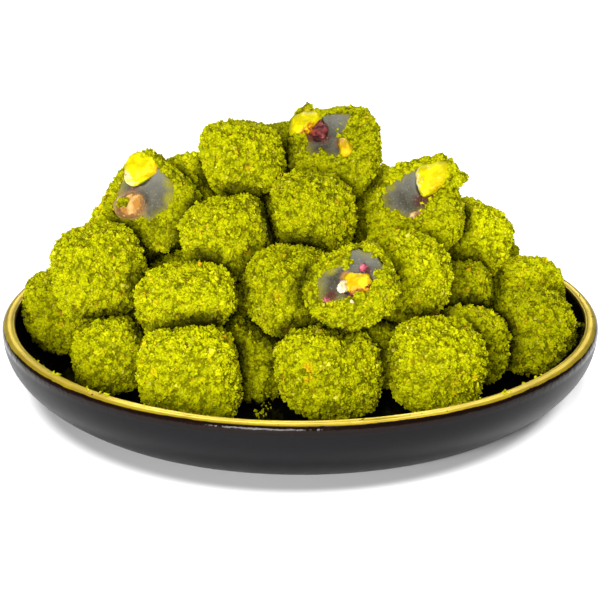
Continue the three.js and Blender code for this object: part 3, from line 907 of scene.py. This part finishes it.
clear_jelly = jelly_material()
for name in cut_names:
    cut = cuts[name]
    bare = bare_jelly[name]
    body = with_modifier(merged_copy(name + "_jelly"), "REMESH", mode="VOXEL", voxel_size=JELLY_VOXEL)
    body = with_modifier(body, "SMOOTH", factor=0.5, iterations=5)
    middle = cut.point(bare.x, bare.y)
    painted = {"edge": [], "fruity": [], "nutty": [], "lit": []}
    for vertex in body.vertices:
        if cut.over(vertex.co) > -JELLY_CUT_DEPTH:
            vertex.co += cut.out * noise.noise(vertex.co / JELLY_WAVE_LENGTH) * JELLY_WAVE
        across = (vertex.co - middle).dot(cut.right)
        along = (vertex.co - middle).dot(cut.up)
        reached = math.hypot(across, along) / bare.reach(math.atan2(along, across))
        stained = {label: stain(cut, vertex.co, spots) for label, spots in STAINS[name].items()}
        painted["edge"].append(min(1.0, max(0.85 * reached, stained["green"])))
        for label in ("fruity", "nutty"):
            painted[label].append(stained[label])
        painted["lit"].append(min(1.0, max(0.0, 0.5 + along / JELLY_LIT_HEIGHT)))
    for label, values in painted.items():
        mark(body, label, values)
    body.shade_smooth()
    filling = place(name + "_cut_jelly", body, clear_jelly)
    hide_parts(name + "_jelly")
    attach(filling, "root")

# ---- The pistachio kernels ----
# Whole and broken kernels, bright yellow where they are cut, with shreds of their pale and purple-brown
# skins. They were stirred into the jelly, so they stand a little out of the cut. One is browned, and sunk.
KERNEL_ROWS = 36
KERNEL_COLUMNS = 56
KERNEL_RAGGEDNESS = 0.05
KERNEL_ROUGHNESS = 0.25
KERNEL_FLESH = (0.53, 0.455, 0.0)
KERNEL_PALE = (0.74, 0.67, 0.003)
KERNEL_ORANGE = (0.52, 0.25, 0.004)
# Each finish: its flesh and paler flesh, its orange side, the torn edge of its skin, and the skin.
KERNEL_COLOURS = {
    "pistachio": (KERNEL_FLESH, KERNEL_PALE, KERNEL_ORANGE, (0.8, 0.66, 0.32), (0.25, 0.09, 0.05)),
    "red-skinned": (KERNEL_FLESH, KERNEL_PALE, KERNEL_ORANGE, (0.42, 0.12, 0.004), (0.09, 0.01, 0.006)),
    "golden": (
        (0.5, 0.33, 0.001), (0.78, 0.61, 0.01), (0.5, 0.22, 0.006), (0.36, 0.1, 0.006), (0.08, 0.012, 0.006),
    ),
    "amber": (
        (0.5, 0.3, 0.003), (0.72, 0.5, 0.006), KERNEL_ORANGE, (0.16, 0.06, 0.008), (0.05, 0.018, 0.008),
    ),
    "browned": (
        (0.4, 0.18, 0.03), (0.7, 0.42, 0.16), (0.58, 0.27, 0.015), (0.2, 0.1, 0.035), (0.14, 0.08, 0.035),
    ),
}
# Each kernel's corners on its cut, how far it stands out of the cut and goes into it, in millimetres, the
# directions of its skin and of its orange side in degrees, and its finish.
KERNELS = {
    "cut_left_kernel_1": (
        ((-8.6, 17.2), (-4.4, 16.8), (-1.4, 15.2), (0, 12), (-0.6, 10), (-4.2, 7.9), (-6.6, 5.8),
         (-8.9, 5.4), (-10.9, 6.3), (-12.2, 9.3), (-12.2, 13.5), (-10.6, 16)),
        2.6, 3.4, 225, 0, "pistachio",
    ),
    "cut_left_kernel_2": (
        ((-10, 2.4), (-8, 3.4), (-4, 2.8), (-2.8, -0.4), (-3.6, -4.4), (-8.5, -5.6), (-12.2, -5),
         (-13.2, -1.8)),
        0.5, 2.6, None, -60, "browned",
    ),
    "cut_right_kernel_1": (
        ((-0.6, 12), (0.4, 15), (4.7, 16.6), (6.6, 18), (9.4, 17.4), (12, 15.8), (12, 12.6), (10.8, 9.3),
         (8.6, 6.8), (6.2, 5.2), (3.3, 4.4), (1.3, 7.2), (0, 10)),
        3.0, 3.6, 195, -50, "pistachio",
    ),
    "cut_top_kernel_1": (
        ((-19, 4.6), (-19.4, 9), (-15.4, 12.4), (-10.2, 13), (-9, 10.2), (-9.8, 7.4), (-11.3, 4),
         (-14, 1.4), (-17.4, 2)),
        2.8, 3.0, -35, -35, "red-skinned",
    ),
    "cut_top_kernel_2": (
        ((2, 3.6), (4.6, 3.8), (7.8, 1.6), (10.2, -1.4), (9.8, -3.8), (6.6, -4), (3.6, -1), (2, 1.2)),
        3.0, 2.2, 195, 20, "amber",
    ),
    "cut_middle_kernel_1": (
        ((-1.9, 1.8), (-0.9, 3.6), (2.6, 3.9), (6.1, 3.7), (8, 2.1), (7.4, 0), (6, -2.2), (3, -3.8),
         (0.9, -2.4), (-0.9, -1)),
        2.0, 2.6, -70, 150, "golden",
    ),
}


def lump(name, cut, outline, proud, sunk, roughness, seed, skin_at=0.0, orange_at=0.0):
    """A lump that fills an outline on a cut, domed above the cut and rounded off below it."""
    work = bmesh.new()
    bmesh.ops.create_uvsphere(work, u_segments=KERNEL_COLUMNS, v_segments=KERNEL_ROWS, radius=1)
    skin, orange = (work.verts.layers.float.new(label) for label in ("skin", "orange"))
    for vertex in work.verts:
        at = vertex.co.copy()
        angle = math.atan2(at.y, at.x)
        rough = noise.noise(at * 1.7 + Vector((seed, 0, 0))) * roughness
        rough += noise.noise(at * 4.5 + Vector((0, seed, 0))) * roughness * 0.3
        rough += noise.noise(at * 11 + Vector((0, 0, seed))) * roughness * 0.12
        side = math.hypot(at.x, at.y)
        reach = outline.reach(angle) * side * (1 + 0.4 * rough)
        height = at.z * (proud if at.z > 0 else sunk) * (1 + rough)
        x = outline.x + reach * math.cos(angle)
        y = outline.y + reach * math.sin(angle)
        vertex.co = cut.point(x, y, height)
        ragged = noise.noise(at * 3.5 + Vector((0, 0, seed)))
        ragged += 0.5 * noise.noise(at * 9 + Vector((seed, 0, 0)))
        facing = 1 if skin_at is None else math.cos(angle - math.radians(skin_at))
        vertex[skin] = side * facing + 0.35 * ragged
        vertex[orange] = side * math.cos(angle - math.radians(orange_at)) + 0.35 * ragged
    mesh = bpy.data.meshes.new(name)
    work.to_mesh(mesh)
    work.free()
    mesh.shade_smooth()
    return mesh


def kernel_material(name, flesh, pale, side, edge, husk):
    material, tree, shader, place_on = new_material(
        name, Roughness=0.45, IOR=1.4, Specular_IOR_Level=0.18, Subsurface_Weight=0.12, Subsurface_Scale=MM,
    )
    cloud = noise_on(place_on, 330, 3)
    fine = noise_on(place_on, 1600, 3)
    rough_edge = times(minus(fine, 0.5), 0.9)
    body = mix_colours(remap(cloud, 0.4, 0.68), flesh, pale)
    warm = plus(rough_edge, marked(tree, "orange"))
    body = mix_colours(remap(warm, 0.6, 1.1, 0.0, 0.7), body, side)
    torn = plus(rough_edge, marked(tree, "skin"))
    body = mix_colours(remap(torn, 0.67, 0.84, 0.0, 0.9), body, edge)
    body = mix_colours(remap(torn, 0.95, 1.08, 0.0, 0.9), body, husk)
    feed(shader, "Base Color", body)
    relief = times_plus(cloud, 1.5, fine)
    emboss(shader, relief, 0.25, 0.3 * MM)
    return material


kernel_finishes = {
    name: kernel_material(name + " kernel", *colours) for name, colours in KERNEL_COLOURS.items()
}
for seed, (name, (corners, proud, sunk, skin_at, orange_at, finish)) in enumerate(KERNELS.items()):
    cut = cuts[name.split("_kernel_")[0]]
    outline = Outline(corners, KERNEL_RAGGEDNESS, seed)
    shape = lump(
        name + "_nut", cut, outline, proud * MM, sunk * MM, KERNEL_ROUGHNESS, 3.0 * seed, skin_at, orange_at,
    )
    kernel = place(name + "_nut", shape, kernel_finishes[finish])
    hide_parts(name)
    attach(kernel, "root")

# ---- The dried fruit and small bits ----
# A piece of dried red fruit in the topmost sweet, and torn bits of fruit and blanched nut on the other
# cuts. They were chopped and stirred into the jelly with the kernels, and the knife has torn what it met.
BIT_RAGGEDNESS = 0.2
BIT_ROUGHNESS = 0.8
BIT_SUNK = 1.0 * MM
BIT_CORNERS = 8
RED_FRUIT = ((-9.9, 7.5), (-8.5, 10.4), (-4.6, 7.2), (-4.1, 2.6), (-7.6, 3.2), (-10.4, 3.4), (-10.2, 5.6))


def oval(right, up, length, width, turn):
    """Corners of an oval on a cut, in millimetres, turned by some degrees."""
    for angle in turns(BIT_CORNERS):
        x, y = length / 2 * math.cos(angle), width / 2 * math.sin(angle)
        lean = math.radians(turn)
        yield right + x * math.cos(lean) - y * math.sin(lean), up + x * math.sin(lean) + y * math.cos(lean)


def fruit_material(name, dark, light, roughness):
    material, _, shader, place_on = new_material(
        name, Roughness=roughness, IOR=1.4, Specular_IOR_Level=0.4,
    )
    cloud = noise_on(place_on, 600, 3)
    feed(shader, "Base Color", mix_colours(remap(cloud, 0.4, 0.65), dark, light))
    emboss(shader, cloud, 0.8, 0.4 * MM)
    return material


red_fruit = fruit_material("dried red fruit", (0.06, 0.01, 0.01), (0.23, 0.045, 0.04), 0.35)
pink_fruit = fruit_material("torn pink fruit", (0.3, 0.03, 0.06), (0.55, 0.16, 0.2), 0.5)
orange_flesh = fruit_material("orange flesh", (0.4, 0.1, 0.003), (0.6, 0.28, 0.01), 0.45)
pale_nut = fruit_material("blanched nut", (0.6, 0.45, 0.25), (0.85, 0.76, 0.55), 0.6)
husk = fruit_material("torn husk", (0.3, 0.13, 0.05), (0.65, 0.45, 0.2), 0.6)
fruit_outline = Outline(RED_FRUIT, raggedness=0.06, seed=9)
fruit_shape = lump(
    "cut_top_red_fruit", cuts["cut_top"], fruit_outline,
    proud=1.4 * MM, sunk=2.2 * MM, roughness=0.22, seed=41.0,
)
fruit = place("cut_top_red_fruit", fruit_shape, red_fruit)
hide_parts("cut_top_fruit_3")
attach(fruit, "root")
# Each bit's place, length and width in millimetres, turn in degrees, how far it stands out, its finish.
BITS = {
    "cut_top_orange_bit": ((-9.7, 4.6, 2.6, 1.3, -60), 1.7, orange_flesh, "dried_fruit"),
    "cut_right_torn_bit": ((2.6, -3.2, 5.8, 2.2, 32), 1.6, husk, "nut_kernel"),
    "cut_middle_upper_pink_bit": ((3.2, 6.2, 2.9, 2.2, 60), 1.1, pink_fruit, "dried_fruit"),
    "cut_middle_lower_pink_bit": ((-4, -7.4, 2.8, 2.1, -30), 1.5, pink_fruit, "dried_fruit"),
    "cut_middle_pale_bit": ((-0.5, -1.9, 4.4, 3.2, 50), 2.2, pale_nut, "nut_kernel"),
    "cut_middle_small_pale_bit": ((4.6, -7, 1.9, 1.3, 10), 1.8, pale_nut, "nut_kernel"),
    "cut_middle_red_bit": ((3.2, -4.9, 3.2, 2.1, -20), 1.2, red_fruit, "dried_fruit"),
    "cut_middle_dark_bit": ((7.6, -0.6, 2.2, 1.6, 70), 1.2, red_fruit, "dried_fruit"),
    "cut_middle_orange_bit": ((7.4, -1, 2.6, 1.6, 60), 1.4, orange_flesh, "dried_fruit"),
}
for seed, (name, (spot, proud, finish, slot)) in enumerate(BITS.items(), start=20):
    cut = next(cuts[n] for n in cut_names if name.startswith(n))
    outline = Outline(list(oval(*spot)), BIT_RAGGEDNESS, seed)
    shape = lump(name, cut, outline, proud * MM, BIT_SUNK, BIT_ROUGHNESS, 3.0 * seed)
    bit = place(name, shape, finish)
    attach(bit, "root")

# ---- Loose crumbs in the dish ----
# Ground pistachio that has dropped off the sweets while they were stacked. It lies in small drifts on the
# inner side of the rim, on the wall and on the floor.
LITTER_SPACING = 1.25 * MM
LITTER_SIZE = 1.25 * MM
LITTER_LIFT = 0.25
# Where it lies: the direction from the dish's middle in degrees, the distance and the spread in millimetres.
LITTER = (
    (206, 94.5, 2), (212, 95, 2), (219, 96, 1.5), (228, 95.5, 2.5), (232, 95.5, 2.5), (240, 94.5, 2),
    (197, 77, 2), (233, 88, 3), (-24, 66, 3), (-51, 95, 3), (-45, 93, 2.5), (-40, 94.5, 2.5), (-39, 99, 1),
    (3, 91, 1.6), (-3, 93.5, 1.2), (-17, 98.6, 1), (8, 97.5, 1.2), (256, 49.5, 2), (-31, 80, 3),
    (-35, 83, 2.5), (-27, 79, 2),
)


def litter_tree():
    tree, given = new_tree("dropped crumbs", ("Crumb Size", "Crumb Spacing"), ("Seed",))
    crumbs = scatter(
        tree, given["Geometry"], given["Crumb Spacing"], given["Crumb Size"], stored(tree, "littered"),
        given["Seed"], LITTER_LIFT,
    )
    for label in ("crumb", "raised", "open", "painted_light"):
        crumbs = store(crumbs, label, 1.0)
    return end_tree(crumbs, given["Coat"])


littered_dish = dish.data.copy()
littered = []
for vertex, out in zip(littered_dish.vertices, littered_dish.attributes["outside"].data):
    share = 0.0
    for direction, distance, spread in LITTER:
        angle = math.radians(direction)
        spot = Vector((math.cos(angle), math.sin(angle))) * distance * MM
        share = max(share, fading((vertex.co.xy - spot).length, spread * MM))
    littered.append(share if out.value < 0.9 else 0.0)
mark(littered_dish, "littered", littered)
dropped = grow("dropped_crumbs", littered_dish, litter_tree(), {
    "Crumb Size": LITTER_SIZE, "Crumb Spacing": LITTER_SPACING, "Seed": 7, "Coat": pistachio,
})
litter = place("dropped_crumbs", dropped, pistachio)
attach(litter, "root")

# ---- The table and the light ----
# A table top of white board in a bright white room, with a painted shadow: the board is darker close to the
# dish and glows white further out, so the shadow ends there. Three soft lights stand round it: one overhead,
# one low in front of the dish, and one behind that lights the ground.
DISH_SHADE_START = 93 * MM
DISH_SHADE_END = 101.5 * MM
DISH_SHADE_LEFT = 1.5 * MM
DISH_SHADE_OVAL = 1.18
SHADED_PAPER = (0.63, 0.63, 0.63)
PAPER = (0.93, 0.93, 0.93)

table_mesh = bpy.data.meshes.new("table")
table_mesh.from_pydata([(-6, -6, 0), (6, -6, 0), (6, 6, 0), (-6, 6, 0)], [], [(0, 1, 2, 3)])
white, white_tree, white_shader, on_table = new_material(
    "white table with painted shadow", Roughness=0.9, Emission_Strength=0.7, Specular_IOR_Level=0.1,
)
spot = node(white_tree, "ShaderNodeSeparateXYZ", {0: on_table}).outputs
# Painted shadow: the board is darker close to the dish and glows white outside it.
across = plus(spot[0], DISH_SHADE_LEFT)
squares = times_plus(across, times(across, DISH_SHADE_OVAL), times(spot[1], spot[1]))
outside_painted_shadow = remap(math_node("SQRT", squares), DISH_SHADE_START, DISH_SHADE_END)
board_with_painted_shadow = mix_colours(outside_painted_shadow, SHADED_PAPER, PAPER)
feed(white_shader, "Base Color", board_with_painted_shadow)
feed(white_shader, "Emission Color", outside_painted_shadow)
table = place("table", table_mesh, white)

world = bpy.data.worlds.new("white room")
world.use_nodes = True
sky = world.node_tree
sky_place = node(sky, "ShaderNodeTexCoord").outputs["Generated"]
sky_height = node(sky, "ShaderNodeSeparateXYZ", {0: sky_place}).outputs[2]
sky_light = remap(sky_height, 0.0, 0.35, 0.4, 0.06)
sky.links.new(sky_light, sky.nodes["Background"].inputs[1])
sky.nodes["Background"].inputs[0].default_value = (1, 1, 1, 1)
bpy.context.scene.world = world


def softbox(name, location, aim, width, depth, power):
    data = bpy.data.lights.new(name, "AREA")
    data.shape = "RECTANGLE"
    data.size = width
    data.size_y = depth
    data.energy = power
    light = new_object(name, data)
    light.location = location
    light.rotation_euler = (Vector(aim) - Vector(location)).to_track_quat("-Z", "Y").to_euler()


# Each light's place and aim, width and depth in metres, and its power in watts.
softbox("overhead", (0.22, -0.16, 0.98), (0, 0, 0), 0.6, 0.25, 3.3)
softbox("front", (-0.14, -0.62, 0.2), (0, 0, 0.03), 0.3, 0.22, 6.6)
softbox("behind", (0, 1.1, 0.9), (0, 0.8, 0), 0.6, 0.6, 12)
bpy.context.scene.view_settings.view_transform = "Standard"
bpy.context.scene.view_settings.look = "None"
